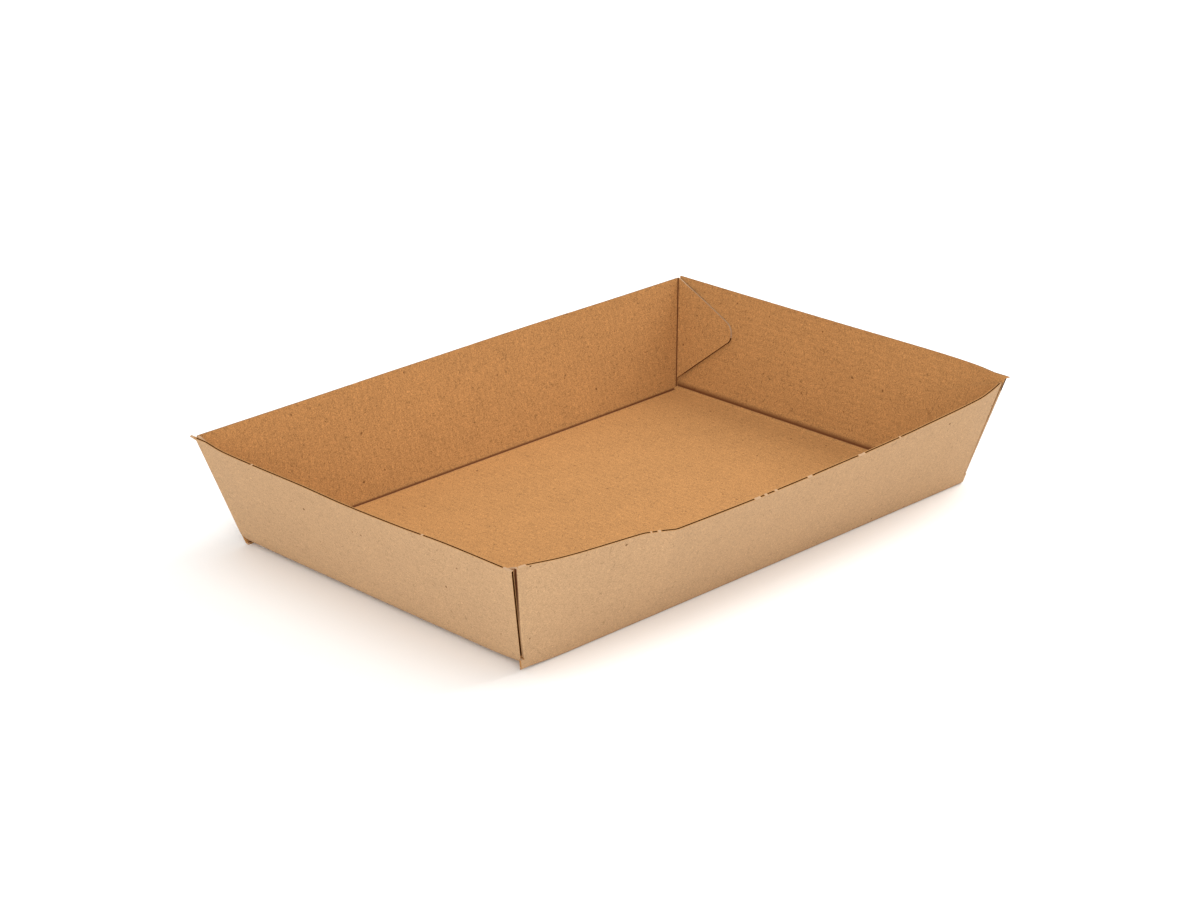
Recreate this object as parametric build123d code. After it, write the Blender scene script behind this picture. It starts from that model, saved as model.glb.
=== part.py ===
from build123d import *
import math
import os

# Tray box folded and glued from one die-cut blank of thin corrugated kraft board.
# Millimetres. X runs along the base, Y across it, Z up. The origin is the centre of
# the underside, on the surface that the tray stands on.

# The board and the base
BOARD = 0.8
BASE_LENGTH = 193.0
BASE_WIDTH = 131.8

# Slope length of each pair of walls, from the bottom corner of the fold to the rim
LONG_SLOPE = 38.5
SHORT_SLOPE = 39.2

# Inner radius of each fold of the base. The short walls fold along a flute, softly.
LONG_FOLD = 0.4
SHORT_FOLD = 3.4

# Outer radius of the creased fold between a long wall and its tab, less than the board
TAB_FOLD = 0.7

# Lean of each wall from upright, in degrees, at the corners where it ends
NEAR_LONG_LEAN_LEFT = 13.2
NEAR_LONG_LEAN_RIGHT = 17.3
FAR_LONG_LEAN_LEFT = 11.8
FAR_LONG_LEAN_RIGHT = 12.2
NEAR_SHORT_LEAN_NEAR = 17.0
NEAR_SHORT_LEAN_FAR = 17.0
FAR_SHORT_LEAN_NEAR = 9.6
FAR_SHORT_LEAN_FAR = 15.8

# Lean between the corners, at places that run from -1 to 1 along each wall
NEAR_SHORT_BELLY = ((-0.6, 17.2), (-0.35, 18.4), (0.0, 19.3), (0.3, 18.8), (0.78, 18.6))
FAR_SHORT_BELLY = ((-0.8, 13.8), (-0.62, 16.4), (-0.45, 17.2), (0.0, 15.9), (0.6, 15.6))
FAR_LONG_BELLY = ((-0.6, 11.8), (-0.3, 13.0), (0.1, 14.0), (0.4, 14.0), (0.7, 12.7))

# The near long wall was pressed outwards and buckled
BUCKLE_START = -0.57
BUCKLE_END = -0.47
BUCKLE_LEAN_BEFORE = 21.5
BUCKLE_LEAN_AFTER = 26.0
RAMP = ((-0.84, 17.3),)
SWELL = ((-0.1, 26.8), (0.3, 26.0), (0.6, 24.5), (0.86, 21.8))

# Glue tabs: width from their fold to the point before it is rounded, how far the point
# lies below the rim, its radius, and how far the root stands above the soft fold
TAB_WIDTH = 30.6
TAB_TIP_DROP = 13.1
TAB_TIP_RADIUS = 4.0
TAB_ROOT_GAP = 0.4

# How far the rim end of a short wall stands past the long wall's outer face, by corner
OVERHANG_NEAR_LEFT = -0.7
OVERHANG_FAR_LEFT = 0.2
OVERHANG_NEAR_RIGHT = 0.2
OVERHANG_FAR_RIGHT = 0.1

# Lugs that the die left at two rim ends of the short walls: how far out, and how deep
LUG_FAR_LEFT = 2.2
LUG_NEAR_RIGHT = 1.3
LUG_DEPTH = 0.9

# Flat stretches beside the corners: of a long wall, and of a short wall
LONG_FLAT = 2.9
SHORT_FLAT = 4.6

# Where the folded shapes meet each other
HALF_LENGTH = BASE_LENGTH / 2
HALF_WIDTH = BASE_WIDTH / 2
LONG_END = 1 - LONG_FLAT / HALF_LENGTH
SHORT_END = 1 - SHORT_FLAT / HALF_WIDTH
LONG_SHELF = LONG_FOLD + 2 * BOARD
SHORT_SHELF = SHORT_FOLD + 2 * BOARD
TAB_START = 1.5 * BOARD
TAB_ARM = 2.5 * BOARD
TAB_ROOT = SHORT_FOLD + TAB_ROOT_GAP
EDGE_RELIEF = BOARD / 2


def tangent(degrees):
    return math.tan(math.radians(degrees))


def cosine(degrees):
    return math.cos(math.radians(degrees))


def sine(degrees):
    return math.sin(math.radians(degrees))


def folded_section(lean, slope, inner, shelf, stretch):
    """Outline of the folded board: a shelf of base, the fold and the wall.

    The sharp bottom corner is at 0, 0, with the first axis outwards and the second
    up. stretch lengthens the second axis, because a section plane leans along the wall.
    """
    outer = inner + BOARD
    turn = 90 - lean
    reach = outer * tangent(turn / 2)

    def at(out, up):
        return (out, up * stretch)

    def on_fold(share, radius):
        angle = turn * share
        return at(-reach + radius * sine(angle), outer - radius * cosine(angle))

    def on_wall(along, depth):
        return at(along * sine(lean) - depth * cosine(lean), along * cosine(lean) + depth * sine(lean))

    with BuildSketch() as sketch:
        with BuildLine():
            Line(at(-shelf, 0), on_fold(0, outer))
            ThreePointArc(on_fold(0, outer), on_fold(0.5, outer), on_fold(1, outer))
            Line(on_fold(1, outer), on_wall(slope, 0))
            Line(on_wall(slope, 0), on_wall(slope, BOARD))
            Line(on_wall(slope, BOARD), on_fold(1, inner))
            ThreePointArc(on_fold(1, inner), on_fold(0.5, inner), on_fold(0, inner))
            Line(on_fold(0, inner), at(-shelf, BOARD))
            Line(at(-shelf, BOARD), at(-shelf, 0))
        make_face()
    return sketch.sketch


def wall_strip(lean, low, high, outer, inner, stretch):
    """Outline across a wall between two distances up it and two depths from its face."""

    def at(along, depth):
        out = along * sine(lean) - depth * cosine(lean)
        up = along * cosine(lean) + depth * sine(lean)
        return (out, up * stretch)

    corners = [at(low, outer), at(high, outer), at(high, inner), at(low, inner)]
    return make_face(Polyline(*corners, close=True))


class Wall:
    """One wall with its fold, lofted through sections that fan out along it.

    side is the outward direction. Each end is a pair: where the wall ends along the
    base, and how fast that end moves outwards with height.
    """

    def __init__(self, side, half_base, slope, fold, shelf, start, end):
        self.side = Vector(*side)
        self.along = Vector(abs(side[1]), abs(side[0]), 0)
        self.half_base = half_base
        self.slope = slope
        self.fold = fold
        self.shelf = shelf
        self.start = start
        self.end = end

    def stand(self, place):
        """Foot and drift of a place from -1 to 1 along the wall."""
        share = (place + 1) / 2
        foot = self.start[0] * (1 - share) + self.end[0] * share
        drift = self.start[1] * (1 - share) + self.end[1] * share
        return foot, drift

    def section(self, place, lean):
        """The folded section at a place from -1 to 1 along the wall."""
        return self.section_at(*self.stand(place), lean)

    def plane_at(self, foot, drift):
        """The plane across the wall at foot, which moves along by drift with height."""
        up = Vector(0, 0, 1) + self.along * drift
        return Plane(
            origin=self.side * self.half_base + self.along * foot,
            x_dir=self.side,
            z_dir=self.side.cross(up),
        )

    def section_at(self, foot, drift, lean):
        """The folded section on the plane across the wall at foot."""
        stretch = math.hypot(1, drift)
        outline = folded_section(lean, self.slope, self.fold, self.shelf, stretch)
        return self.plane_at(foot, drift) * outline

    def glued(self, place, lean):
        """The section of what is glued inside this wall, from halfway into its board."""
        foot, drift = self.stand(place)
        stretch = math.hypot(1, drift)
        outline = wall_strip(lean, BOARD, self.slope, BOARD / 2, 2 * BOARD, stretch)
        return self.plane_at(foot, drift) * outline

    def stretch_of(self, stations, ruled=False, outline=None):
        """The wall between the first and the last of its stations, or a tab along it."""
        outline = outline or self.section
        return loft([outline(place, lean) for place, lean in stations], ruled=ruled)

    def whole(self, stations, outline=None):
        """A short wall, or what is glued inside it, with the flat stretches at its ends."""
        (first, lean_first), *between, (last, lean_last) = stations
        left = [(first, lean_first), (-SHORT_END, lean_first)]
        right = [(SHORT_END, lean_last), (last, lean_last)]
        return (
            self.stretch_of(left, ruled=True, outline=outline)
            + self.stretch_of([left[1], *between, right[0]], outline=outline)
            + self.stretch_of(right, ruled=True, outline=outline)
        )


def long_wall(side, short_lean_left, short_lean_right):
    """A long wall between the inner faces of the two short walls."""
    start = (BOARD / cosine(short_lean_left) - HALF_LENGTH, -tangent(short_lean_left))
    end = (HALF_LENGTH - BOARD / cosine(short_lean_right), tangent(short_lean_right))
    return Wall((0, side), HALF_WIDTH, LONG_SLOPE, LONG_FOLD, LONG_SHELF, start, end)


def short_end(long_lean, overhang):
    """Where the side edge of a short wall starts and how fast it moves outwards."""
    height = SHORT_SLOPE * cosine(long_lean)
    foot = HALF_WIDTH - EDGE_RELIEF
    return foot, tangent(long_lean) + (overhang + EDGE_RELIEF) / height


def short_wall(side, near, far):
    """A short wall between its near end and its far end, each a lean and an overhang."""
    near_foot, near_drift = short_end(*near)
    far_foot, far_drift = short_end(*far)
    start = (-near_foot, -near_drift)
    end = (far_foot, far_drift)
    return Wall((side, 0), HALF_LENGTH, SHORT_SLOPE, SHORT_FOLD, SHORT_SHELF, start, end)


def make_lug(wall, place, lean, length):
    """A thin lug in line with the rim, at one end of a short wall."""
    foot, drift = wall.stand(place)

    def across(shift, depth):
        rim = wall.slope
        outline = wall_strip(lean, rim - depth, rim, 0, BOARD, math.hypot(1, drift))
        return wall.plane_at(foot + place * shift, drift) * outline

    steps = ((0, LUG_DEPTH), (length / 2, LUG_DEPTH), (length, LUG_DEPTH / 3))
    return loft([across(shift, depth) for shift, depth in steps], ruled=True)


def above(height):
    """A block that keeps what is above a height."""
    size = 2 * BASE_LENGTH
    return Pos(0, 0, height) * Box(size, size, size, align=(Align.CENTER, Align.CENTER, Align.MIN))


def tab_outline(y_sign, long_lean, start):
    """Block that cuts a glue tab to shape, seen from the side.

    start is how far inwards of the long wall's outer face the block begins.
    """
    across = BOARD / cosine(long_lean)
    rim = LONG_SLOPE * cosine(long_lean)
    rim_step = BOARD * sine(long_lean)

    def spot(inwards, height):
        return (HALF_WIDTH + height * tangent(long_lean) - inwards, height)

    tip = spot(TAB_WIDTH, rim - TAB_TIP_DROP)
    sketch = Sketch() + make_face(Polyline(
        spot(-across, rim - rim_step),
        spot(across, rim + rim_step),
        tip,
        spot(across, TAB_ROOT),
        spot(-across, TAB_ROOT),
        close=True,
    ))
    sketch = fillet(sketch.vertices().sort_by_distance(tip)[0], TAB_TIP_RADIUS)
    sketch &= make_face(Polyline(
        spot(start, 0),
        spot(start, 2 * LONG_SLOPE),
        (0, 2 * LONG_SLOPE),
        (0, 0),
        close=True,
    ))
    side_view = Plane(origin=(0, 0, 0), x_dir=(0, y_sign, 0), z_dir=(y_sign, 0, 0))
    return extrude(side_view * sketch, amount=BASE_LENGTH, both=True)


def fold_plan(x_sign, y_sign, short_lean, long_lean):
    """Plan of the corner: the long wall, the fold and the tab, which have one section."""
    along = x_sign * BOARD / cosine(short_lean)
    across = y_sign * BOARD / cosine(long_lean)
    arm = x_sign * (LONG_FLAT + TAB_ARM)
    tab = y_sign * TAB_ARM
    sketch = Sketch() + make_face(Polyline(
        (0, 0),
        (-arm, 0),
        (-arm, -across),
        (-along, -across),
        (-along, -tab),
        (0, -tab),
        close=True,
    ))
    outer = sketch.vertices().sort_by_distance((0, 0))[0]
    return fillet(outer, min(TAB_FOLD, 0.9 * BOARD))


def make_corner(wall, x_sign, y_sign, short_lean, long_lean):
    """A corner: the end of the long wall, the fold into the tab and the ear at the foot."""
    lean = Vector(x_sign * tangent(short_lean), y_sign * tangent(long_lean), 1)
    inner_foot = x_sign * (HALF_LENGTH - BOARD / cosine(short_lean))
    start = Vector(inner_foot, y_sign * HALF_WIDTH, 0) + lean * (TAB_ROOT - BOARD)
    plan = Pos(start.X, start.Y, start.Z) * fold_plan(x_sign, y_sign, short_lean, long_lean)
    column = extrude(plan, amount=LONG_SLOPE * lean.length, dir=lean.normalized())

    outline = tab_outline(y_sign, long_lean, -2 * BOARD)
    place = x_sign * LONG_END
    towards_middle = -x_sign * y_sign * HALF_LENGTH / 2
    wall_block = Pos(0, 0, towards_middle) * Box(BASE_LENGTH, BASE_LENGTH, HALF_LENGTH)
    fold = (column & outline) - wall.plane_at(*wall.stand(place)) * wall_block

    outer_section = wall.section_at(x_sign * HALF_LENGTH, x_sign * tangent(short_lean), long_lean)
    ear = loft([wall.section(place, long_lean), outer_section], ruled=True) - above(TAB_ROOT)
    return fold + ear


def make_base():
    """The flat base, up to the shelves that the walls' folds bring with them."""
    length = BASE_LENGTH - 2 * SHORT_SHELF
    width = BASE_WIDTH - 2 * LONG_SHELF
    return Box(length, width, BOARD, align=(Align.CENTER, Align.CENTER, Align.MIN))


def make_near_long(wall):
    """The near long wall: a straight ramp, the buckle, and the swell beyond it."""
    before = (BUCKLE_START, BUCKLE_LEAN_BEFORE)
    after = (BUCKLE_END, BUCKLE_LEAN_AFTER)
    ramp = wall.stretch_of([(-LONG_END, NEAR_LONG_LEAN_LEFT), *RAMP, before])
    buckle = wall.stretch_of([before, after], ruled=True)
    swell = wall.stretch_of([after, *SWELL, (LONG_END, NEAR_LONG_LEAN_RIGHT)])
    return ramp + buckle + swell


def make_far_long(wall):
    """The far long wall, which bellies out a little at its middle."""
    left = (-LONG_END, FAR_LONG_LEAN_LEFT)
    right = (LONG_END, FAR_LONG_LEAN_RIGHT)
    return wall.stretch_of([left, *FAR_LONG_BELLY, right])


def make_short(side, near, far, stations):
    """A short wall with the two glue tabs inside it, which follow its belly.

    near and far are each the lean of the long wall at that end and the overhang there.
    """
    wall = short_wall(side, near, far)
    outlines = tab_outline(-1, near[0], TAB_START) + tab_outline(1, far[0], TAB_START)
    return wall.whole(stations) + (wall.whole(stations, wall.glued) & outlines)


def make_tray():
    """The whole folded sheet, joined face to face where the tabs are glued."""
    near_long = long_wall(-1, NEAR_SHORT_LEAN_NEAR, FAR_SHORT_LEAN_NEAR)
    far_long = long_wall(1, NEAR_SHORT_LEAN_FAR, FAR_SHORT_LEAN_FAR)
    tray = make_base() + make_near_long(near_long) + make_far_long(far_long)
    tray += make_corner(near_long, -1, -1, NEAR_SHORT_LEAN_NEAR, NEAR_LONG_LEAN_LEFT)
    tray += make_corner(near_long, 1, -1, FAR_SHORT_LEAN_NEAR, NEAR_LONG_LEAN_RIGHT)
    tray += make_corner(far_long, -1, 1, NEAR_SHORT_LEAN_FAR, FAR_LONG_LEAN_LEFT)
    tray += make_corner(far_long, 1, 1, FAR_SHORT_LEAN_FAR, FAR_LONG_LEAN_RIGHT)

    near = (NEAR_LONG_LEAN_LEFT, OVERHANG_NEAR_LEFT)
    far = (FAR_LONG_LEAN_LEFT, OVERHANG_FAR_LEFT)
    stations = [(-1, NEAR_SHORT_LEAN_NEAR), *NEAR_SHORT_BELLY, (1, NEAR_SHORT_LEAN_FAR)]
    tray += make_short(-1, near, far, stations)
    tray += make_lug(short_wall(-1, near, far), 1, NEAR_SHORT_LEAN_FAR, LUG_FAR_LEFT)

    near = (NEAR_LONG_LEAN_RIGHT, OVERHANG_NEAR_RIGHT)
    far = (FAR_LONG_LEAN_RIGHT, OVERHANG_FAR_RIGHT)
    stations = [(-1, FAR_SHORT_LEAN_NEAR), *FAR_SHORT_BELLY, (1, FAR_SHORT_LEAN_FAR)]
    tray += make_short(1, near, far, stations)
    tray += make_lug(short_wall(1, near, far), -1, FAR_SHORT_LEAN_NEAR, LUG_NEAR_RIGHT)
    return tray


os.makedirs("parts", exist_ok=True)
export_step(make_tray(), "parts/tray.step")
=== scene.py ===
"""Looks of a folded and glued tray box of thin fluted kraft board."""

import logging
import math
from collections.abc import Callable
from dataclasses import dataclass, field, replace
from enum import Enum

import bmesh
import bpy
from bmesh.types import BMesh, BMFace
from bpy.types import Material, Node, NodeSocket, NodeTree, Object
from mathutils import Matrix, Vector, noise


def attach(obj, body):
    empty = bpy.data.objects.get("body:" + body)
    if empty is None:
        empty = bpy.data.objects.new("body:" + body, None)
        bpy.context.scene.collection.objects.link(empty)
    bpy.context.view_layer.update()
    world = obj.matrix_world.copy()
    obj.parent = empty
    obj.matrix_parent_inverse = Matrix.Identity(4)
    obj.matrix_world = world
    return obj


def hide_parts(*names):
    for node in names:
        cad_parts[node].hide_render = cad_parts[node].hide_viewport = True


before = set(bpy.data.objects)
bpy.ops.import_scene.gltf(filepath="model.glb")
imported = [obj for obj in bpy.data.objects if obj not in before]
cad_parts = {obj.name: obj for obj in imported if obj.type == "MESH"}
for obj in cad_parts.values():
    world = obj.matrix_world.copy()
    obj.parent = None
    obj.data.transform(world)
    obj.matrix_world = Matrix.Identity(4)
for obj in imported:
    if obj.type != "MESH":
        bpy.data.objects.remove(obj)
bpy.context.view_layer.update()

log = logging.getLogger("tray")

MM = 0.001  # metres in a millimetre
NEAR = 1e-3  # how far apart two equal places may be, in millimetres
AT_RIM = 0.995  # share of a slope above which a corner of the mesh is on the rim
END_POWER = 8  # how close to its end a wall departs from its line: the higher, the closer


def linear(hex_colour: str) -> tuple[float, float, float, float]:
    """Turn an sRGB hex colour to the linear RGBA that a shader socket takes.

    Args:
        hex_colour: six hex digits, with or without the hash.

    Returns:
        Red, green, blue and an alpha of one, linear.
    """
    digits = hex_colour.lstrip("#")
    parts = [int(digits[i:i + 2], 16) / 255 for i in (0, 2, 4)]
    straight = [p / 12.92 if p <= 0.04045 else ((p + 0.055) / 1.055) ** 2.4 for p in parts]
    return (straight[0], straight[1], straight[2], 1.0)


def add_node(tree: NodeTree, kind: str, inputs: dict | None = None, **settings: object) -> Node:
    """Add a shader node with its settings, values and links.

    Args:
        tree: the node tree it goes into.
        kind: the node's type, without the word ShaderNode.
        inputs: what each input gets: a node, for its first output, a socket or a value.
        **settings: the node's own properties.

    Returns:
        The new node.
    """
    made = tree.nodes.new("ShaderNode" + kind)
    for name, value in settings.items():
        setattr(made, name, value)
    for key, value in (inputs or {}).items():
        if isinstance(value, Node):
            value = value.outputs[0]
        if isinstance(value, NodeSocket):
            tree.links.new(value, made.inputs[key])
        else:
            made.inputs[key].default_value = value
    return made


def new_material(name: str, dress: Callable[[NodeTree], dict]) -> Material:
    """Make a material of one principled shader.

    Args:
        name: the material's name.
        dress: adds the other nodes and gives what each input of the shader gets.

    Returns:
        The new material.
    """
    material = bpy.data.materials.new(name)
    material.use_nodes = True
    tree = material.node_tree
    tree.nodes.clear()
    shader = add_node(tree, "BsdfPrincipled", dress(tree))
    add_node(tree, "OutputMaterial", {"Surface": shader})
    return material


def solidify(made: Object, **settings: object) -> None:
    """Give a sheet its thickness.

    Args:
        made: the sheet, which is the active object.
        **settings: the Solidify modifier's own properties.
    """
    bpy.ops.object.modifier_add(type="SOLIDIFY")
    solid = made.modifiers[-1]
    for name, value in settings.items():
        setattr(solid, name, value)
    bpy.ops.object.modifier_apply(modifier=solid.name)


def sine_cosine(degrees: float) -> tuple[float, float]:
    """Sine and cosine of an angle in degrees."""
    return math.sin(math.radians(degrees)), math.cos(math.radians(degrees))


def tangent(degrees: float) -> float:
    """Tangent of an angle in degrees."""
    return math.tan(math.radians(degrees))


def fade(value: float, start: float, steepness: float) -> float:
    """One up to a start, and beyond it down to zero by a steepness."""
    return max(0.0, 1.0 - max(0.0, value - start) * steepness)


@dataclass(frozen=True)
class KraftLiner:
    """Unbleached kraft paper, laid on fluting by steam and starch.

    It is matte and slightly cloudy. Long pale and brown fibres lie in it in all directions,
    with a few dark flecks of bark, and the flutes behind it show as a faint washboard.
    """

    name: str
    colour: str
    mottle: float = 0.4
    fibre: float = 0.4
    # Strength of the washboard's stripes, painted into the colour as shade of its ripples.
    washboard: float = 0.02
    # Painted shade: the colour blended in along creases, seams and tab turns, where shade falls.
    crease_shade_colour: str = "#5A2F10"
    fleck_colour: str = "#5E3A1C"
    flecked: float = 0.2

    def make(self) -> Material:
        """Build the material."""
        return new_material(self.name, self.dress)

    def dress(self, tree: NodeTree) -> dict:
        """Add the paper's colour and relief.

        Args:
            tree: the material's nodes.

        Returns:
            What each input of the shader gets.
        """
        place = add_node(tree, "TexCoord").outputs["Object"]
        tone = self.add_tone(tree, place)
        flecks = self.add_flecks(tree, place)
        paper = add_node(
            tree, "VectorMath", {0: linear(self.colour)[:3], "Scale": tone}, operation="SCALE"
        )
        # Painted shade: a per-corner attribute mixes the paper towards the crease shade colour in
        # creases and seams.
        painted_shade_mask = add_node(tree, "Attribute", attribute_name="painted_shade")
        shaded_paper = add_node(
            tree, "Mix",
            {"Factor": painted_shade_mask.outputs["Fac"], 6: paper, 7: linear(self.crease_shade_colour)},
            data_type="RGBA",
        )
        colour = add_node(
            tree, "Mix",
            {"Factor": flecks, 6: shaded_paper.outputs[2], 7: linear(self.fleck_colour)},
            data_type="RGBA",
        )
        return {
            "Base Color": colour.outputs[2], "Roughness": 0.85, "Specular IOR Level": 0.2,
            "Normal": self.add_relief(tree, place),
        }

    def cloud(self, tree: NodeTree, place: NodeSocket, size: float, detail: float) -> Node:
        """Add soft noise around zero.

        Args:
            tree: the material's nodes.
            place: coordinates of the surface.
            size: how large its lumps are, in millimetres.
            detail: how many finer octaves it has.

        Returns:
            The noise.
        """
        lumps = add_node(
            tree, "TexNoise",
            {"Vector": place, "Scale": 1 / (size * MM), "Detail": detail, "Roughness": 0.6},
        )
        return add_node(tree, "Math", {0: lumps, 1: 0.5}, operation="SUBTRACT")

    def add_waves(self, tree: NodeTree) -> Node:
        """Add the washboard, from the flat blank's coordinates.

        Args:
            tree: the material's nodes.

        Returns:
            A sine across the flutes.
        """
        blank = add_node(tree, "UVMap", uv_map="blank")
        across = add_node(tree, "SeparateXYZ", {"Vector": blank})
        turns = 2 * math.pi / (BOARD.flute * MM)
        phase = add_node(tree, "Math", {0: across, 1: turns}, operation="MULTIPLY")
        return add_node(tree, "Math", {0: phase}, operation="SINE")

    def add_fibres(self, tree: NodeTree, place: NodeSocket, size: float, thin: float) -> Node:
        """Add thin curly fibres: the crests of folded noise.

        Args:
            tree: the material's nodes.
            place: coordinates of the surface.
            size: how long a fibre's curls are, in millimetres.
            thin: how thin the fibres are, from 0 to 1.

        Returns:
            One on a fibre and zero off it.
        """
        lumps = add_node(
            tree, "TexNoise",
            {"Vector": place, "Scale": 1 / (size * MM), "Detail": 1.0, "Distortion": 1.2},
        )
        off = add_node(tree, "Math", {0: lumps, 1: 0.5}, operation="SUBTRACT")
        away = add_node(tree, "Math", {0: off}, operation="ABSOLUTE")
        return add_node(
            tree, "MapRange", {"Value": away, "From Max": thin, "To Min": 1.0, "To Max": 0.0}
        )

    def add_tone(self, tree: NodeTree, place: NodeSocket) -> Node:
        """Add up all that makes the paper lighter or darker.

        Args:
            tree: the material's nodes.
            place: coordinates of the surface.

        Returns:
            The tone, around one.
        """
        layers = (
            (self.cloud(tree, place, 0.38, 1.0), self.mottle * 2.4),
            (self.cloud(tree, place, 1.1, 2.0), self.mottle * 0.6),
            (self.cloud(tree, place, 9.0, 3.0), self.mottle * 0.25),
            (self.cloud(tree, place, 38.0, 2.0), self.mottle * 0.3),
            (self.add_fibres(tree, place, 1.3, 0.02), self.fibre),
            (self.add_fibres(tree, place, 1.9, 0.02), -self.fibre),
            # Painted shade: the washboard's light and dark stripes, painted into the tone besides
            # the bump.
            (self.add_waves(tree), self.washboard * 0.5),
        )
        total = 1.0
        for value, weight in layers:
            inputs = {0: value, 1: weight, 2: total}
            total = add_node(tree, "Math", inputs, operation="MULTIPLY_ADD")
        return total

    def add_flecks(self, tree: NodeTree, place: NodeSocket) -> Node:
        """Add sparse dark flecks: the middles of a few cells, bent out of round.

        Args:
            tree: the material's nodes.
            place: coordinates of the surface.

        Returns:
            Up to 0.8 on a fleck and zero off it.
        """
        bent = add_node(tree, "TexNoise", {"Vector": place, "Scale": 1 / (0.7 * MM)})
        shift = add_node(
            tree, "VectorMath", {0: bent.outputs["Color"], "Scale": 0.6 * MM}, operation="SCALE"
        )
        where = add_node(tree, "VectorMath", {0: place, 1: shift}, operation="ADD")
        cells = add_node(tree, "TexVoronoi", {"Vector": where, "Scale": 1 / (3.2 * MM)})
        pick = add_node(tree, "SeparateColor", {"Color": cells.outputs["Color"]})
        size = add_node(
            tree, "MapRange", {"Value": pick, "From Min": 1 - self.flecked, "To Max": 0.17}
        )
        inside = add_node(tree, "Math", {0: size, 1: cells}, operation="SUBTRACT")
        return add_node(tree, "MapRange", {"Value": inside, "From Max": 0.06, "To Max": 0.8})

    def add_relief(self, tree: NodeTree, place: NodeSocket) -> Node:
        """Add the relief of the surface: the faint washboard and the paper's tooth.

        Args:
            tree: the material's nodes.
            place: coordinates of the surface.

        Returns:
            The bent normal.
        """
        waves = add_node(
            tree, "Bump",
            {"Height": self.add_waves(tree), "Distance": 0.01 * MM, "Strength": 1.0},
        )
        tooth = self.cloud(tree, place, 0.5, 3.0)
        return add_node(
            tree, "Bump",
            {"Height": tooth, "Distance": 0.05 * MM, "Strength": 0.8, "Normal": waves},
        )


@dataclass(frozen=True)
class CutPaper:
    """Raw die-cut paper, frayed and matte, without a liner's even surface."""

    name: str
    colour: str
    uneven: float = 0.3

    def make(self) -> Material:
        """Build the material."""
        return new_material(self.name, self.dress)

    def dress(self, tree: NodeTree) -> dict:
        """Add the paper's uneven colour.

        Args:
            tree: the material's nodes.

        Returns:
            What each input of the shader gets.
        """
        place = add_node(tree, "TexCoord").outputs["Object"]
        lumps = add_node(
            tree, "TexNoise", {"Vector": place, "Scale": 1 / (0.6 * MM), "Detail": 3.0}
        )
        tone = add_node(
            tree, "MapRange",
            {"Value": lumps, "To Min": 1 - self.uneven, "To Max": 1 + self.uneven},
        )
        paper = add_node(
            tree, "VectorMath", {0: linear(self.colour)[:3], "Scale": tone}, operation="SCALE"
        )
        return {"Base Color": paper, "Roughness": 0.95, "Specular IOR Level": 0.0}


class Finish(Enum):
    """The board's material slots, in the mesh's order. On a worn edge the liners have closed."""

    INNER = 0
    OUTER = 1
    # Painted shade: the dark floor of the open cuts.
    CUT = 2
    FLUTES = 3
    # Worn, crushed paper, and also a painted highlight on the upward cut edges of tabs, lugs and
    # ears.
    WORN = 4


@dataclass(frozen=True)
class Board:
    """Sizes of the board and of the folded tray, in millimetres."""

    thickness: float = 0.8
    half_length: float = 96.5
    half_width: float = 65.9
    long_slope: float = 38.5
    short_slope: float = 39.2
    long_fold: float = 1.2
    short_fold: float = 4.2
    tab_fold: float = 0.9
    tab_width: float = 30.6
    tab_drop: float = 13.1
    tab_root: float = 3.8
    tip_radius: float = 4.0
    glue: float = 0.04
    flute: float = 2.4


BOARD = Board()
FINISHES = {
    Finish.INNER: KraftLiner("kraft_inner_liner", "#AB7B49", mottle=0.48, washboard=0.05),
    Finish.OUTER: KraftLiner("kraft_outer_liner", "#AF8D69", mottle=0.26, fibre=0.28),
    Finish.CUT: CutPaper("die_cut_liner_edge", "#A1764B"),
    # Painted shade: near-black floor of the open cuts, standing for the shade in the flutes.
    Finish.FLUTES: CutPaper("painted_shade_in_the_cut", "#3A1B06"),
    # Worn paper on the nicks, and also a painted highlight on upward cut edges.
    Finish.WORN: CutPaper("worn_and_highlit_edge", "#AB8C6E", uneven=0.15),
}
# The fluting paper, painted darker than its own tan as shade in the narrow groove.
RIBBON = CutPaper("fluting_paper_in_painted_shade", "#4E2A10")


@dataclass(frozen=True)
class Lean:
    """How far a wall leans from upright along its length, as runs of places and degrees.

    A run is smooth through its stations. Two runs meet in a kink.
    """

    runs: tuple[tuple[tuple[float, float], ...], ...]

    def at(self, place: float) -> float:
        """Lean at a place.

        Args:
            place: from -1 to 1 along the wall.

        Returns:
            Degrees from upright.
        """
        run = next((r for r in self.runs if place <= r[-1][0]), self.runs[-1])
        place = min(max(place, run[0][0]), run[-1][0])
        index = next(i for i in range(len(run) - 1) if place <= run[i + 1][0])
        (x0, y0), (x1, y1) = run[index], run[index + 1]
        step = x1 - x0
        share = (place - x0) / step
        between = y0 + (y1 - y0) * share * share * (3 - 2 * share)
        start = share * (1 - share) ** 2 * step * self.steepness(run, index)
        end = share * share * (share - 1) * step * self.steepness(run, index + 1)
        return between + start + end

    @staticmethod
    def steepness(run: tuple, index: int) -> float:
        """Degrees for each unit of place at one of a run's stations."""
        low, high = max(index - 1, 0), min(index + 1, len(run) - 1)
        return (run[high][1] - run[low][1]) / (run[high][0] - run[low][0])


@dataclass(frozen=True)
class Dent:
    """A soft dent or bulge in a wall: where it is, how far it spreads and how deep it is."""

    place: float
    share: float
    length: float
    height: float
    out: float

    def at(self, place: float, share: float) -> float:
        """How far out it pushes the wall at a point, in millimetres."""
        far = ((place - self.place) / self.length) ** 2 + ((share - self.share) / self.height) ** 2
        return self.out * math.exp(-far)


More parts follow.
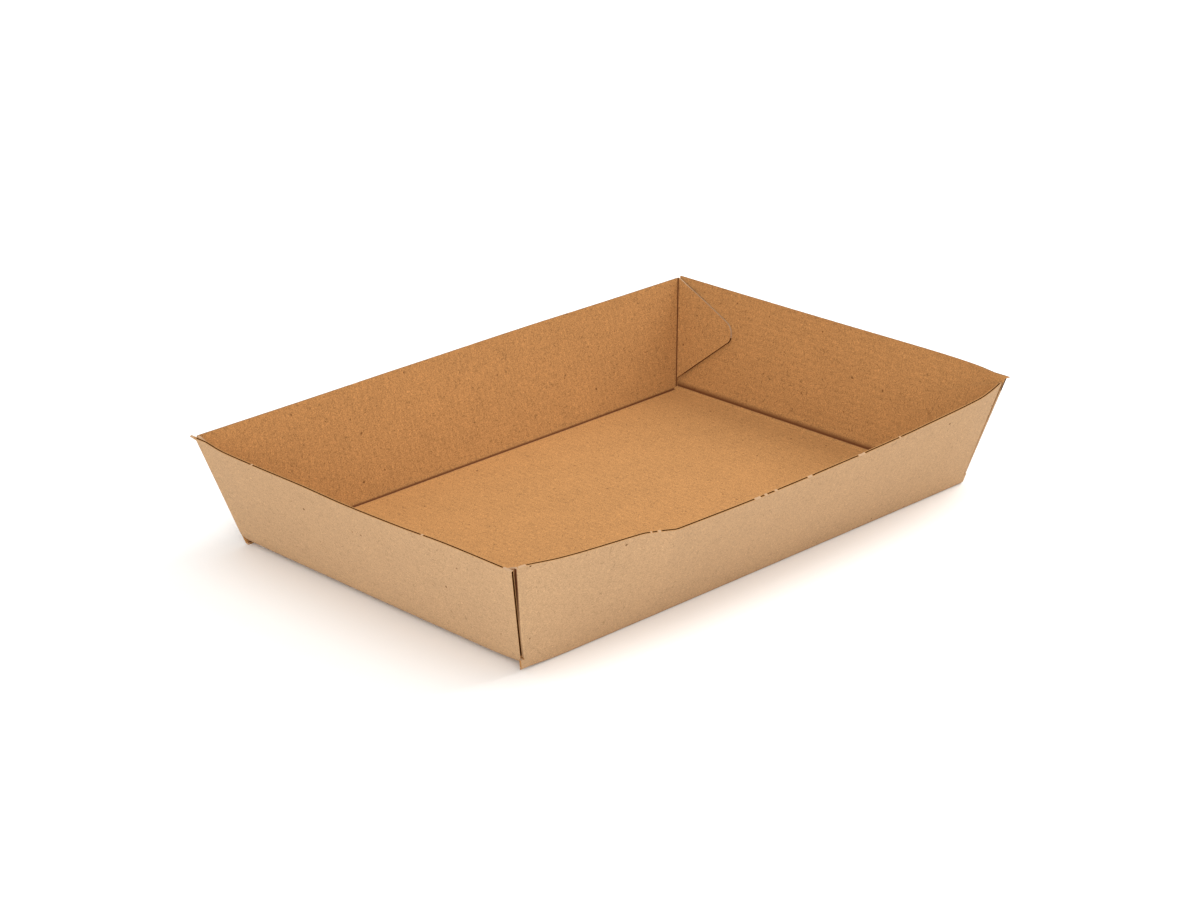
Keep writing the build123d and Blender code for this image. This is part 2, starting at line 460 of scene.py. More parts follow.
@dataclass(frozen=True)
class Nick:
    """A stretch of a rim that was crushed shut, so that its fluting doesn't show."""

    first: float
    last: float
    drop: float = 0.0
    shortest: float = 0.004

    def at(self, place: float) -> float:
        """How far the rim is pressed down.

        Args:
            place: from -1 to 1 along the wall.

        Returns:
            Millimetres.
        """
        middle = (self.first + self.last) / 2
        half = max((self.last - self.first) / 2, self.shortest)
        return self.drop * math.exp(-((place - middle) / half) ** 2)


@dataclass(frozen=True)
class Wall:
    """One wall and its fold: where it stands and what its outer face is, in millimetres.

    Each end is where the wall stops along the base, and how fast that end moves outwards
    with height.
    """

    side: tuple[int, int]
    half_base: float
    slope: float
    fold: float
    start: tuple[float, float]
    end: tuple[float, float]
    lean: Lean
    dents: tuple[Dent, ...] = ()
    nicks: tuple[Nick, ...] = ()
    sag: Lean | None = None
    warp: float = 0.25
    warp_rates: tuple[float, float] = (3.0, 1.5)
    warp_growth: float = 3.0
    warp_seed: float = 0.0

    def stand(self, place: float) -> tuple[float, float]:
        """Where a place of the wall stands.

        Args:
            place: from -1 to 1 along the wall.

        Returns:
            How far along the base it is, and how fast it fans out with height.
        """
        share = (place + 1) / 2
        foot = self.start[0] * (1 - share) + self.end[0] * share
        drift = self.start[1] * (1 - share) + self.end[1] * share
        return foot, drift

    def place_of(self, along: float, height: float) -> float:
        """Place of a point.

        Args:
            along: how far along the wall it is, in millimetres.
            height: how high it is.

        Returns:
            From -1 to 1 along the wall.
        """
        first = self.start[0] + self.start[1] * height
        last = self.end[0] + self.end[1] * height
        return 2 * (along - first) / (last - first) - 1

    def bulge(self, place: float, share: float) -> float:
        """How far dents and the paper's warp push the face out of its true shape.

        Args:
            place: from -1 to 1 along the wall.
            share: from 0 at the top of the fold to 1 at the rim.

        Returns:
            Millimetres.
        """
        if share <= 0:
            return 0.0
        still = max(0.0, 1 - place ** 4)
        along, up = self.warp_rates
        wave = noise.noise(Vector((place * along, share * up, self.warp_seed)))
        dents = sum(dent.at(place, share) for dent in self.dents)
        return dents + self.warp * wave * still * min(1.0, share * self.warp_growth)

    def profile(self, place: float, share: float) -> tuple[float, float]:
        """Outer face across the wall.

        Args:
            place: from -1 to 1 along the wall.
            share: -1 at the base, 0 at the top of the fold and 1 at the rim.

        Returns:
            How far out of the sharp bottom corner, and how high.
        """
        lean = self.lean.at(place)
        turn = 90 - lean
        reach = self.fold * tangent(turn / 2)
        sag = self.sag.at(place) * (1 - max(share, 0.0)) if self.sag else 0.0
        if share <= 0:
            sine, cosine = sine_cosine(turn * (share + 1))
            return -reach + self.fold * sine - sag, self.fold * (1 - cosine)
        sine, cosine = sine_cosine(lean)
        along = reach + (self.slope - reach) * share
        if share > AT_RIM:
            along -= sum(nick.at(place) for nick in self.nicks)
        return along * sine + self.bulge(place, share) - sag, along * cosine

    def share_of(self, place: float, height: float) -> float:
        """Share of the slope between the fold and the rim.

        Args:
            place: from -1 to 1 along the wall.
            height: above the floor, in millimetres.

        Returns:
            From 0 at the top of the fold to 1 at the rim.
        """
        lean = self.lean.at(place)
        reach = self.fold * tangent((90 - lean) / 2)
        return (height / sine_cosine(lean)[1] - reach) / (self.slope - reach)

    def point(self, place: float, share: float, depth: float = 0.0) -> Vector:
        """Point of the wall.

        Args:
            place: from -1 to 1 along the wall.
            share: -1 at the base, 0 at the top of the fold and 1 at the rim.
            depth: how far in from the outer face it is.

        Returns:
            The point in space.
        """
        out, up = self.profile(place, share)
        sine, cosine = sine_cosine(self.lean.at(place))
        out, up = out - depth * cosine, up + depth * sine
        foot, drift = self.stand(place)
        along = foot + drift * up
        if self.side[0]:
            return Vector((self.side[0] * (self.half_base + out), along, up))
        return Vector((along, self.side[1] * (self.half_base + out), up))

    def inside(self, along: float, height: float, depth: float) -> float:
        """How far from the tray's centre the wall is.

        Args:
            along: how far along the wall, in millimetres.
            height: how high.
            depth: how far in from the outer face.

        Returns:
            Millimetres.
        """
        place = self.place_of(along, height)
        lean = self.lean.at(place)
        level = self.half_base + height * tangent(lean) - depth / sine_cosine(lean)[1]
        return level + self.bulge(place, self.share_of(place, height))


def long_wall(side: int, left: float, right: float, **more: object) -> Wall:
    """Make a long wall between the two short walls.

    Args:
        side: -1 for the near wall, 1 for the far one.
        left: degrees that the short wall at its left end leans.
        right: degrees that the short wall at its right end leans.
        **more: the wall's lean, dents and warp.

    Returns:
        The wall.
    """
    start = (BOARD.thickness / sine_cosine(left)[1] - BOARD.half_length, -tangent(left))
    end = (BOARD.half_length - BOARD.thickness / sine_cosine(right)[1], tangent(right))
    return Wall((0, side), BOARD.half_width, BOARD.long_slope, BOARD.long_fold, start, end, **more)


def short_wall(
    side: int, near: tuple[float, float], far: tuple[float, float],
    fold: float = BOARD.short_fold, **more: object,
) -> Wall:
    """Make a short wall between the two long walls.

    Args:
        side: -1 for the near wall, 1 for the far one.
        near: degrees that the near long wall leans here, and the overhang at the rim.
        far: the same for the far long wall.
        fold: radius of its fold's outer face.
        **more: the wall's lean, dents and warp.

    Returns:
        The wall.
    """
    relief = BOARD.thickness / 2
    foot = BOARD.half_width - relief
    near_drift, far_drift = (
        tangent(lean) + (overhang + relief) / (BOARD.short_slope * sine_cosine(lean)[1])
        for lean, overhang in (near, far)
    )
    return Wall(
        (side, 0), BOARD.half_length, BOARD.short_slope, fold,
        (-foot, -near_drift), (foot, far_drift), **more,
    )


NEAR_LONG = long_wall(-1, 17.0, 9.6, lean=Lean((
    ((-0.97, 13.2), (-0.84, 17.3), (-0.57, 21.5)),
    ((-0.57, 21.5), (-0.47, 26.0)),
    (
        (-0.47, 26.0), (-0.1, 26.8), (0.3, 26.0), (0.6, 24.5), (0.86, 22.1), (0.94, 19.8),
        (1.0, 17.3),
    ),
)), dents=(
    Dent(-0.52, 0.87, 0.03, 0.1, -0.7),
    Dent(-0.15, 1.0, 0.012, 0.02, 0.15),
    Dent(0.07, 1.0, 0.014, 0.02, 0.15),
    Dent(0.295, 1.0, 0.014, 0.02, 0.2),
), nicks=(
    Nick(-1.0, -0.95), Nick(-0.5485, -0.545), Nick(-0.5255, -0.5175, 0.2),
    Nick(-0.1635, -0.14, 0.15), Nick(-0.122, -0.112, 0.1), Nick(-0.08, -0.07, 0.12),
    Nick(0.058, 0.076, 0.15), Nick(0.28, 0.308, 0.25), Nick(0.4655, 0.4715),
), warp_seed=1.5)
FAR_LONG = long_wall(1, 17.0, 15.8, lean=Lean((
    (
        (-0.97, 11.8), (-0.6, 11.8), (-0.3, 13.0), (0.1, 14.0), (0.4, 14.0), (0.7, 12.7),
        (0.97, 12.2),
    ),
)), nicks=(Nick(0.0555, 0.083), Nick(0.5, 0.53), Nick(-0.42, -0.39)), sag=Lean((
    (
        (-1.0, 0.0), (-0.8, 0.9), (-0.5, 1.2), (-0.3, 1.05), (0.0, 0.85), (0.4, 0.8),
        (0.65, 0.55), (0.85, 0.25), (1.0, 0.0),
    ),
)), warp_seed=4.5)
NEAR_SHORT = replace(short_wall(-1, (13.2, -0.7), (11.8, 0.2), fold=6.4, lean=Lean((
    (
        (-0.93, 17.0), (-0.6, 17.2), (-0.35, 18.4), (0.0, 19.3), (0.3, 18.8), (0.78, 18.6),
        (0.93, 17.0),
    ),
)), nicks=(Nick(-1.0, -0.95), Nick(-0.49, -0.481, 0.12), Nick(0.59, 0.598, 0.1)), warp_seed=7.5),
    start=(-64.5, -0.281), end=(65.9, 0.17))
FAR_SHORT = short_wall(1, (17.3, 0.2), (12.2, 0.1), lean=Lean((
    (
        (-0.93, 9.6), (-0.8, 13.8), (-0.62, 16.4), (-0.45, 17.2), (0.0, 15.9), (0.6, 15.6),
        (0.93, 15.8),
    ),
)), nicks=(Nick(-0.2, -0.185), Nick(0.4, 0.415)), warp_seed=10.5)

WALLS = {
    "near_long": NEAR_LONG, "far_long": FAR_LONG, "near_short": NEAR_SHORT, "far_short": FAR_SHORT,
}


@dataclass(frozen=True)
class Slack:
    """How far the end of a long wall stands in from the short wall there, in millimetres.

    Its tab bridges that gap, and lies against the short wall again further in.
    """

    foot: float
    rim: float
    rim_height: float = BOARD.long_slope * 0.96

    def at(self, height: float) -> float:
        """Gap at a height."""
        return self.foot + (self.rim - self.foot) * (height / self.rim_height)


RAISED_CORNER = Vector((-BOARD.half_length, -BOARD.half_width, 0))
SLACKS = {
    (-1, -1): Slack(-1.05, 1.35), (1, -1): Slack(0.1, 0.5),
    (-1, 1): Slack(0.2, 0.4), (1, 1): Slack(0.3, 0.95),
}


class Part(Enum):
    """Which part of the blank a corner of its mesh belongs to."""

    BASE = 0
    LONG = 1
    EAR = 2
    TAB = 3
    SHORT = 4
    LUG = 5


@dataclass
class FoldedBoard:
    """The die-cut blank, folded into the tray: base, walls, glue tabs and ears at the feet.

    The blank is drawn flat, one row of extrusions after another, and cut to shape. Then
    each corner of its mesh moves to its place on the folded tray. Sizes in millimetres.
    """

    columns: int = 152
    rows: int = 56
    fold_rows: int = 6
    soft_rows: int = 12
    score_rows: int = 4
    wall_rows: int = 15
    turn_columns: int = 5
    tab_columns: int = 22
    tip_cuts: int = 8
    lug_depth: float = 0.7
    lug_left: float = 3.0
    lug_right: float = 1.3
    lug_narrowing: float = 0.9
    lug_curve: float = 1.5
    lug_steps: int = 3
    slit_cover: float = 0.65
    raised: float = 0.6
    raised_reach: float = 9.0
    liner: float = 0.22
    end_liner: float = 0.12
    cut_depth: float = 0.5
    cut_draft: float = 0.01
    groove: float = 1.6
    score_depth: float = 0.38
    long_turn: float = 75.0
    short_turn: float = 74.0
    smooth: float = 32.0
    made: Object | None = field(default=None, init=False)

    def __post_init__(self) -> None:
        """Work out the flat blank's lines from the folded sizes and the folds' usual turns."""
        long_reach = BOARD.long_fold * tangent(self.long_turn / 2)
        short_reach = BOARD.short_fold * tangent(self.short_turn / 2)
        self.base_y = BOARD.half_width - long_reach
        self.base_x = BOARD.half_length - short_reach
        self.long_band = BOARD.long_fold * math.radians(self.long_turn)
        self.short_band = BOARD.short_fold * math.radians(self.short_turn)
        self.long_rise = BOARD.long_slope - long_reach
        self.short_rise = BOARD.short_slope - short_reach
        self.rim_y = self.base_y + self.long_band + self.long_rise
        self.rim_x = self.base_x + self.short_band + self.short_rise
        self.turn_x = BOARD.half_length - BOARD.thickness - BOARD.tab_fold
        self.turn_band = BOARD.tab_fold * math.radians(90)

    @staticmethod
    def share(travel: float, band: float, rise: float) -> float:
        """Share of a profile after a travel from the base, over a fold's band and a rise."""
        return travel / band - 1 if travel <= band else (travel - band) / rise

    def long_share(self, flat: Vector) -> float:
        """Share of a long wall's profile at a place on the blank."""
        return self.share(abs(flat.y) - self.base_y, self.long_band, self.long_rise)

    def short_share(self, flat: Vector) -> float:
        """Share of a short wall's profile at a place on the blank."""
        return self.share(abs(flat.x) - self.base_x, self.short_band, self.short_rise)

    def mesh(self) -> BMesh:
        """The mesh in edit mode."""
        return bmesh.from_edit_mesh(self.made.data)

    def pick(self, kind: str, test: Callable[..., bool]) -> None:
        """Select only the edges or faces that pass a test.

        Args:
            kind: edges or faces.
            test: whether one of them is selected.
        """
        bpy.ops.mesh.select_all(action="DESELECT")
        mesh = self.mesh()
        for item in getattr(mesh, kind):
            if test(item):
                item.select_set(True)
        bmesh.update_edit_mesh(self.made.data)

    def pick_edges(self, test: Callable[[Vector], bool]) -> None:
        """Select only the edges whose two ends pass a test of their flat place."""
        self.pick("edges", lambda edge: all(test(corner.co / MM) for corner in edge.verts))

    def grow(self, steps: list[float], toward: tuple[int, int], part: Part) -> None:
        """Extrude what is selected, step by step, and mark what grows as a part of the blank.

        Args:
            steps: lengths of the steps, in millimetres.
            toward: the direction in the blank's plane.
            part: the part of the blank that grows.
        """
        for step in steps:
            value = (toward[0] * step * MM, toward[1] * step * MM, 0.0)
            bpy.ops.mesh.extrude_region_move(TRANSFORM_OT_translate={"value": value})
            mesh = self.mesh()
            layer = mesh.verts.layers.int["part"]
            for corner in mesh.verts:
                if corner.select:
                    corner[layer] = part.value
            bmesh.update_edit_mesh(self.made.data)

    @staticmethod
    def steps(band: float, rows: int, shares: list[float], rise: float) -> list[float]:
        """Steps of a wall's mesh: even ones over its fold's band, then to each share."""
        return [band / rows] * rows + [(b - a) * rise for a, b in zip(shares, shares[1:])]

    def draw_base(self) -> None:
        """Add the base as a flat grid."""
        bpy.ops.mesh.primitive_grid_add(
            x_subdivisions=self.columns, y_subdivisions=self.rows, size=2, location=(0, 0, 0)
        )
        self.made = bpy.context.object
        self.made.name = "tray_board"
        bpy.ops.transform.resize(value=(self.base_x * MM, self.base_y * MM, 1))
        bpy.ops.object.transform_apply(location=False, rotation=False, scale=True)
        self.made.data.attributes.new("part", "INT", "POINT")
        self.made.data.attributes.new("painted_shade", "FLOAT", "POINT")
        self.made.data.attributes.new("press", "FLOAT", "POINT")
        bpy.ops.object.mode_set(mode="EDIT")
        bpy.ops.mesh.select_mode(type="EDGE")
        self.pick("edges", lambda edge: (
            abs(edge.verts[0].co.x - edge.verts[1].co.x) < NEAR * MM
            and max(abs(corner.co.y) for corner in edge.verts) > (self.base_y - NEAR) * MM
        ))
        bpy.ops.mesh.subdivide(number_cuts=self.score_rows)

    def draw_long_walls(self) -> None:
        """Extrude the two long walls from the base, with a line where the tabs begin."""
        root = NEAR_LONG.share_of(-1, BOARD.tab_root)
        first, last = 0.02, 0.985
        shares = [0.0, first, root]
        shares += [root + (last - root) * (i + 1) / self.wall_rows for i in range(self.wall_rows)]
        steps = self.steps(self.long_band, self.fold_rows, shares + [1.0], self.long_rise)
        for side in (-1, 1):
            self.pick_edges(lambda p: abs(p.y - side * self.base_y) < NEAR)
            self.grow(steps, (0, side), Part.LONG)
        self.root_y = self.base_y + self.long_band + root * self.long_rise

    def draw_corner(self, left: int, near: int) -> None:
        """Extrude the end of a long wall: the ear at its foot and the glue tab above it.

        Args:
            left: -1 for the left end and 1 for the right one.
            near: -1 for the near wall and 1 for the far one.
        """
        self.pick_edges(
            lambda p: abs(p.x - left * self.base_x) < NEAR and near * p.y > self.base_y - NEAR
        )
        last = 0.35
        self.grow([self.turn_x - self.base_x - last, last], (left, 0), Part.LONG)
        self.pick_edges(
            lambda p: abs(p.x - left * self.turn_x) < NEAR and 0 < near * p.y < self.root_y + NEAR
        )
        self.grow([(BOARD.half_length - self.turn_x) / 2] * 2, (left, 0), Part.EAR)
        self.pick_edges(
            lambda p: abs(p.x - left * self.turn_x) < NEAR and near * p.y > self.root_y - NEAR
        )
        panel = (BOARD.tab_width - BOARD.tab_fold) / self.tab_columns
        turns = [self.turn_band / self.turn_columns] * self.turn_columns
        panels = [last, panel - last] + [panel] * (self.tab_columns - 1)
        self.grow(turns + panels, (left, 0), Part.TAB)

    def cut_tab(self, left: int, near: int) -> None:
        """Cut a tab to its two straight edges and its rounded tip.

        Args:
            left: -1 for a left tab and 1 for a right one.
            near: -1 for a near tab and 1 for a far one.
        """
        wall = NEAR_LONG if near < 0 else FAR_LONG
        rim = wall.slope * sine_cosine(wall.lean.at(left))[1]
        first_x = self.turn_x + self.turn_band
        tip_share = wall.share_of(left, rim - BOARD.tab_drop)
        tip = Vector((
            first_x + BOARD.tab_width - BOARD.tab_fold,
            self.base_y + self.long_band + tip_share * self.long_rise,
        ))
        upper = (tip - Vector((first_x, self.rim_y))).normalized()
        lower = (tip - Vector((first_x, self.root_y))).normalized()
        upper_out = Vector((-upper.y, upper.x))
        lower_out = Vector((lower.y, -lower.x))
        bend = upper_out.angle(lower_out)
        middle = tip - (upper_out + lower_out).normalized() * BOARD.tip_radius / math.cos(bend / 2)
        start = math.atan2(upper_out.y, upper_out.x)

        def in_tab(face: BMFace) -> bool:
            """Whether a face is in the tab."""
            middle = face.calc_center_median() / MM
            return left * middle.x > self.turn_x and near * middle.y > self.root_y

        for cut in range(self.tip_cuts + 1):
            angle = start - bend * cut / self.tip_cuts
            out = Vector((math.cos(angle), math.sin(angle)))
            on_line = middle + out * BOARD.tip_radius
            self.pick("faces", in_tab)
            bpy.ops.mesh.bisect(
                plane_co=(left * on_line.x * MM, near * on_line.y * MM, 0),
                plane_no=(left * out.x, near * out.y, 0),
                clear_outer=True,
            )

    def draw_short_walls(self) -> None:
        """Extrude the two short walls from the base, with the lugs at two of their corners."""
        lug_share = 1 - self.lug_depth / self.short_rise
        shares = [lug_share * i / self.wall_rows for i in range(self.wall_rows + 1)] + [1.0]
        steps = self.steps(self.short_band, self.soft_rows, shares, self.short_rise)
        for side in (-1, 1):
            self.pick_edges(
                lambda p: abs(p.x - side * self.base_x) < NEAR and abs(p.y) < self.base_y + NEAR
            )
            self.grow(steps, (side, 0), Part.SHORT)
        for side, far, length in ((-1, 1, self.lug_left), (1, -1, self.lug_right)):
            self.pick_edges(
                lambda p: side * p.x > self.rim_x - self.lug_depth - NEAR
                and abs(p.y - far * self.base_y) < NEAR
            )
            self.grow([length / self.lug_steps] * self.lug_steps, (0, far), Part.LUG)

    def cut_nicks(self) -> None:
        """Split the faces along the rims at the ends of each nick."""
        for wall in WALLS.values():
            for place in [end for nick in wall.nicks for end in (nick.first, nick.last)]:
                if place > -1:
                    self.split_rim(wall, place)

    def split_rim(self, wall: Wall, place: float) -> None:
        """Split the last row of faces below one rim.

        Args:
            wall: the wall whose rim it is.
            place: where along the wall.
        """
        row = 1.0

        def in_row(face: BMFace) -> bool:
            """Whether a face is in the last row."""
            x, y, _ = face.calc_center_median() / MM
            on_side = x * wall.side[0] > self.rim_x - row
            return on_side or y * wall.side[1] > self.rim_y - row and abs(x) < self.turn_x

        self.pick("faces", in_row)
        if wall.side[0]:
            plane = {"plane_co": (0, place * self.base_y * MM, 0), "plane_no": (0, 1, 0)}
        else:
            plane = {"plane_co": (wall.stand(place)[0] * MM, 0, 0), "plane_no": (1, 0, 0)}
        bpy.ops.mesh.bisect(**plane)

    def base_spot(self, flat: Vector) -> Vector:
        """Folded place of a corner of the base, which stretches to meet the folds.

        Args:
            flat: its place on the blank.

        Returns:
            Its place on the tray.
        """
        long = NEAR_LONG if flat.y < 0 else FAR_LONG
        short = NEAR_SHORT if flat.x < 0 else FAR_SHORT
        edge_x = abs(short.point(flat.y / self.base_y, -1).x)
        edge_y = abs(long.point(long.place_of(flat.x, 0), -1).y)
        return Vector((
            self.stretch(flat.x, self.base_x, edge_x),
            self.stretch(flat.y, self.base_y, edge_y),
            0.0,
        ))

    @staticmethod
    def stretch(value: float, end: float, new_end: float, margin: float = 12.0) -> float:
        """Move a value near an end so that the end lands on its new place."""
        over = max(0.0, (abs(value) - end + margin) / margin)
        return math.copysign(abs(value) + (new_end - end) * over, value)

    def long_spot(self, flat: Vector) -> Vector:
        """Folded place of a corner of a long wall or of its ear.

        Args:
            flat: its place on the blank.

        Returns:
            Its place on the tray.
        """
        wall = NEAR_LONG if flat.y < 0 else FAR_LONG
        spot = wall.point(wall.place_of(flat.x, 0), self.long_share(flat))
        left, near = math.copysign(1, flat.x), math.copysign(1, flat.y)
        slack = SLACKS[left, near].at(spot.z)
        spot.x -= left * slack * min(1.0, abs(flat.x) / self.turn_x) ** END_POWER
        return spot

    def tab_spot(self, flat: Vector) -> tuple[Vector, float]:
        """Folded place of a corner of a tab.

        Args:
            flat: its place on the blank.

        Returns:
            Its place on the tray, and how far along the blank it is.
        """
        left = 1 if flat.x > 0 else -1
        near = 1 if flat.y > 0 else -1
        wall = NEAR_SHORT if flat.x < 0 else FAR_SHORT
        start = self.long_spot(Vector((left * self.turn_x, flat.y)))
        travel = abs(flat.x) - self.turn_x
        angle = min(travel / BOARD.tab_fold, math.pi / 2)
        inwards = BOARD.tab_fold * (1 - math.cos(angle)) + max(0.0, travel - self.turn_band)
        along = start.y - near * inwards
        rest = 1 - max(0.0, travel - self.turn_band) / (BOARD.tab_width - self.turn_band)
        gap = max(0.0, SLACKS[left, near].at(start.z)) * rest ** 2
        panel = left * wall.inside(along, start.z, BOARD.thickness + BOARD.glue + gap)
        turned = start.x + left * BOARD.tab_fold * math.sin(angle)
        share = angle / (math.pi / 2)
        spot = Vector((turned * (1 - share) + panel * share, along, start.z))
        return spot, start.x + left * travel

    def short_spot(self, flat: Vector) -> Vector:
        """Folded place of a corner of a short wall.

        Args:
            flat: its place on the blank.

        Returns:
            Its place on the tray.
        """
        wall = NEAR_SHORT if flat.x < 0 else FAR_SHORT
        share = self.short_share(flat)
        spot = wall.point(flat.y / self.base_y, share)
        if flat.x < 0 and flat.y < 0:
            spot.y -= self.slit_cover * max(0.0, -share) * (flat.y / self.base_y) ** END_POWER
        return spot

    def lug_spot(self, flat: Vector) -> Vector:
        """Folded place of a corner of a lug, which narrows towards its tip.

        Args:
            flat: its place on the blank.

        Returns:
            Its place on the tray.
        """
        far = 1 if flat.y > 0 else -1
        beyond = abs(flat.y) - self.base_y
        length = self.lug_left if far > 0 else self.lug_right
        share = self.short_share(flat)
        share += (1 - share) * self.lug_narrowing * (beyond / length) ** self.lug_curve
        wall = NEAR_SHORT if flat.x < 0 else FAR_SHORT
        spot = wall.point(far, share)
        spot.y += far * beyond
        return spot

    def crease(self, part: Part, flat: Vector) -> tuple[float, float]:
        """How a corner of the blank was pressed, and how much shade is painted on it.

        The rule pressed a groove into the inner face beside each long fold, and a sharper
        one into the middle of each soft short fold. Shade is painted into each line, darkest in
        the groove, with a faint painted halo of shade above it, and painted shade lies in the
        seam beside a tab, on the tab's turn and on the ears.

        Args:
            part: the part of the blank that the corner belongs to.
            flat: its place on the blank.

        Returns:
            How dark the liner is there and how deep it is pressed, both from 0 to 1.
        """
        if part is Part.BASE:
            near = (abs(flat.y) - self.base_y + self.groove) / self.groove
            line = min(1.0, max(0.0, near * 3 - 1.5))
            return line, max(0.0, near)
        if part in (Part.LONG, Part.EAR):
            share = self.long_share(flat)
            line = fade(share, -0.83, 1.1)
            halo = max(0.0, 0.1 - max(0.0, share * self.long_rise) * 0.2)
            seam = fade(abs(self.turn_x - abs(flat.x)), 0.0, 2.8) if part is Part.LONG else 0.3
            return max(line if share <= 0 else halo, seam), max(0.0, -share - 0.35) / 0.65
        if part is Part.TAB:
            share = (abs(flat.x) - self.turn_x) / self.turn_band
            return (0.9 if share < 0.5 else 1.0 if share < 1.1 else 0.0), 0.0
        if part is Part.SHORT:
            share = self.short_share(flat)
            line = fade(share, -0.45, 2.6) if -0.55 <= share < 0.05 else 0.0
            return line, fade(abs(share + 0.5), 0.0, 4.0)
        return 0.0, 0.0

    def fold(self) -> None:
        """Move each corner of the blank to its place on the tray, and keep its flat place."""
        bpy.ops.object.mode_set(mode="OBJECT")
        mesh = self.made.data
        parts = mesh.attributes["part"].data
        painted_shades, presses = mesh.attributes["painted_shade"].data, mesh.attributes["press"].data
        flat_places = []
        for corner in mesh.vertices:
            flat = corner.co / MM
            part = Part(parts[corner.index].value)
            # Painted shade for the corner, and how deep it is pressed.
            painted_shades[corner.index].value, presses[corner.index].value = self.crease(part, flat)
            if part is Part.BASE:
                spot, kept = self.base_spot(flat), (flat.x, flat.y)
            elif part in (Part.LONG, Part.EAR):
                spot = self.long_spot(flat)
                kept = (spot.x, flat.y)
            elif part is Part.TAB:
                spot, along = self.tab_spot(flat)
                kept = (along, flat.y)
            else:
                spot = self.short_spot(flat) if part is Part.SHORT else self.lug_spot(flat)
                kept = (flat.x, spot.y)
            away = (spot - RAISED_CORNER).length / self.raised_reach
            spot.z += self.raised * math.exp(-away ** 2)
            corner.co = spot * MM
            flat_places.append(kept)
        layer = mesh.uv_layers.new(name="blank")
        for loop in mesh.loops:
            along, across = flat_places[loop.vertex_index]
            layer.data[loop.index].uv = (along * MM, across * MM)
        mesh.update()

    def thicken(self) -> None:
        """Give the folded sheet the board's thickness, inwards from its outer face."""
        for finish in Finish:
            self.made.data.materials.append(FINISHES[finish].make())
        solidify(
            self.made, thickness=BOARD.thickness * MM, offset=1.0, use_even_offset=True,
            material_offset=Finish.OUTER.value, material_offset_rim=Finish.CUT.value,
        )

    def press_scores(self) -> None:
        """Press the rule's lines into the inner face, and keep painted shade to it and the tab
        seams.
        """
        mesh = self.made.data
        presses = mesh.attributes["press"].data
        inner = {
            index for face in mesh.polygons
            if face.material_index == Finish.INNER.value for index in face.vertices
        }
        parts, painted_shades = mesh.attributes["part"].data, mesh.attributes["painted_shade"].data
        seam_foot, seam_rise, at_turn = 10.0, 20.0, 0.95
        for corner in mesh.vertices:
            if corner.index in inner:
                continue
            painted_shade = painted_shades[corner.index]
            # Painted shade on the outer face stays only on each tab's turn: the open seam beside
            # it, painted darker with height, where the gap is in shade.
            if parts[corner.index].value == Part.TAB.value and painted_shade.value > at_turn:
                painted_shade.value = min(1.0, max(0.0, (corner.co.z / MM - seam_foot) / seam_rise))
            else:
                painted_shade.value = 0.0
        normals = [corner.normal.copy() for corner in mesh.vertices]
        for index in inner:
            mesh.vertices[index].co -= normals[index] * presses[index].value * self.score_depth * MM
        mesh.update()

    def open_cuts(self) -> None:
        """Open the cut edges, where the fluting shows as a gap between the liners, painted dark as
        shade.
        """
        bpy.ops.object.mode_set(mode="EDIT")
        bpy.ops.mesh.select_mode(type="FACE")
        for wall in WALLS.values():
            self.open_rim(wall)
        above_fold, near_rim, beyond_fold = 5.0, 34.0, BOARD.half_width - 3
        sideways, downwards = 0.7, -0.1
        self.pick_cuts(
            Part.SHORT,
            lambda middle, normal: abs(normal.y) > sideways
            and middle.z > (above_fold if middle.x < 0 and middle.y < 0 else near_rim),
        )
        self.sink_cuts(self.end_liner)
        self.pick_cuts(
            Part.TAB, lambda middle, normal: normal.z < downwards and abs(middle.y) < beyond_fold
        )
        self.sink_cuts(self.end_liner)
        # Cut edges of tabs, lugs and ears that face up: worn paper, partly a painted highlight of
        # their rounded edges.
        for part in (Part.TAB, Part.LUG, Part.EAR):
            self.pick_cuts(part, lambda middle, normal: normal.z >= downwards)
            self.dress_cuts(Finish.WORN)
        self.pick_cuts(
            Part.SHORT,
            lambda middle, normal: abs(normal.y) > sideways and (middle.x > 0 or middle.y > 0),
        )
        self.dress_cuts(Finish.WORN)
        bpy.ops.object.mode_set(mode="OBJECT")

    def pick_cuts(self, part: Part, test: Callable[[Vector, Vector], bool]) -> None:
        """Select cut faces of a part of the blank.

        Args:
            part: the part.
            test: whether a face is selected, from its middle and its normal.
        """
        mesh = self.mesh()
        layer = mesh.verts.layers.int["part"]
        self.pick("faces", lambda face: (
            face.material_index == Finish.CUT.value
            and all(corner[layer] == part.value for corner in face.verts)
            and test(face.calc_center_median() / MM, face.normal)
        ))

    def sink_cuts(self, liner: float) -> None:
        """Sink the selected cut faces between the two liners, and paint them dark as the shade in
        the flutes.

        Args:
            liner: how thick a liner is, in millimetres.
        """
        bpy.ops.mesh.inset(thickness=liner * MM, depth=0, use_boundary=True)
        self.dress_cuts(Finish.FLUTES)
        bpy.ops.mesh.inset(
            thickness=self.cut_draft * MM, depth=-self.cut_depth * MM, use_boundary=True
        )

    def dress_cuts(self, finish: Finish) -> None:
        """Give the selected cut faces a finish."""
        self.made.active_material_index = finish.value
        bpy.ops.object.material_slot_assign()

    def open_rim(self, wall: Wall) -> None:
        """Open one rim between its nicks.

        Args:
            wall: the wall.
        """
        part = Part.SHORT if wall.side[0] else Part.LONG
        high, upwards = 30.0, 0.7

        def on_rim(middle: Vector, normal: Vector) -> bool:
            """Whether a face is on this rim: beyond the base, high up and facing upwards."""
            level = middle.x * wall.side[0] + middle.y * wall.side[1]
            return level > wall.half_base and middle.z > high and normal.z > upwards

